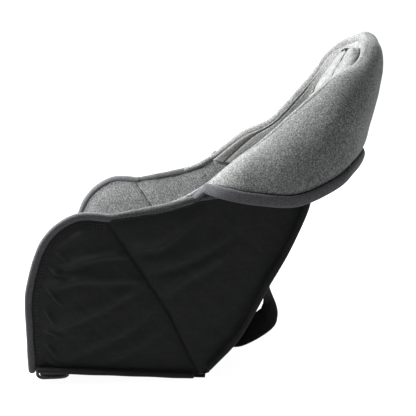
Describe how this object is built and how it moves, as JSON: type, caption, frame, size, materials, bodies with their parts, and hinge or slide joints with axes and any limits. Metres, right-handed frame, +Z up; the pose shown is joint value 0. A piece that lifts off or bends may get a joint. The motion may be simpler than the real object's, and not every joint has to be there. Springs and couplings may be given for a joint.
{
  "type": "padded pushchair seat",
  "caption": "Padded fabric bucket seat for a pushchair frame, with a folding backrest, rolled cowl hood, quilted side gussets and a fold-under front flap.",
  "frame": {"origin": "under the middle of the seat's box, on the surface that it stands on", "axes": "+Z up, the open front of the seat faces -Y, the head end is at +Y, +X across the width"},
  "size_m": [0.407, 0.5269, 0.46],
  "materials": {
    "melange": "matte",
    "cover_cloth": "matte",
    "flap_cloth": "matte",
    "binding": "matte",
    "piping": "matte",
    "webbing": "matte",
    "foam": "matte",
    "board": "matte"
  },
  "bodies": {
    "seat": {"base_cover": "cover_cloth", "crease_web": "cover_cloth", "seat_board": "board", "seat_pad": "foam", "seat_lining": "melange", "front_edge_binding": "binding", "base_piping_left": "piping", "base_piping_right": "piping", "gusset_front_outer_left": "cover_cloth", "gusset_front_outer_right": "cover_cloth", "gusset_front_foam_left": "foam", "gusset_front_foam_right": "foam", "gusset_front_lining_left": "melange", "gusset_front_lining_right": "melange", "arc_binding_left": "binding", "arc_binding_right": "binding"},
    "back": {"back_cover": "cover_cloth", "back_board": "board", "back_pad": "foam", "back_lining": "melange", "head_pillow": "melange", "back_piping_left": "piping", "back_piping_right": "piping", "gusset_rear_outer_left": "cover_cloth", "gusset_rear_outer_right": "cover_cloth", "gusset_rear_foam_left": "foam", "gusset_rear_foam_right": "foam", "gusset_rear_lining_left": "melange", "gusset_rear_lining_right": "melange", "top_rail_left": "melange", "top_rail_right": "melange", "wing_lining_left": "melange", "wing_lining_right": "melange", "head_rim": "melange", "cowl": "melange", "cowl_foam": "foam", "cowl_lining": "cover_cloth", "cowl_band": "binding", "rear_loop_left": "webbing", "rear_loop_right": "webbing"},
    "front_flap": {"flap_face": "flap_cloth", "flap_pad": "foam", "flap_backing": "cover_cloth", "flap_binding_left": "binding", "flap_binding_right": "binding"}
  },
  "joints": [
    {"name": "back_fold", "type": "hinge", "parent": "seat", "child": "back", "pos_m": [0, -0.019, 0.004], "axis": [1, 0, 0], "range_deg": [0, 85], "deforming": ["crease_web", "gusset_front_outer_left", "gusset_front_outer_right", "gusset_front_foam_left", "gusset_front_foam_right", "gusset_front_lining_left", "gusset_front_lining_right", "arc_binding_left", "arc_binding_right", "gusset_rear_outer_left", "gusset_rear_outer_right", "gusset_rear_foam_left", "gusset_rear_foam_right", "gusset_rear_lining_left", "gusset_rear_lining_right", "top_rail_left", "top_rail_right"]},
    {"name": "flap_fold", "type": "hinge", "parent": "seat", "child": "front_flap", "pos_m": [0, -0.249, 0.009], "axis": [-1, 0, 0], "range_deg": [0, 180]}
  ]
}
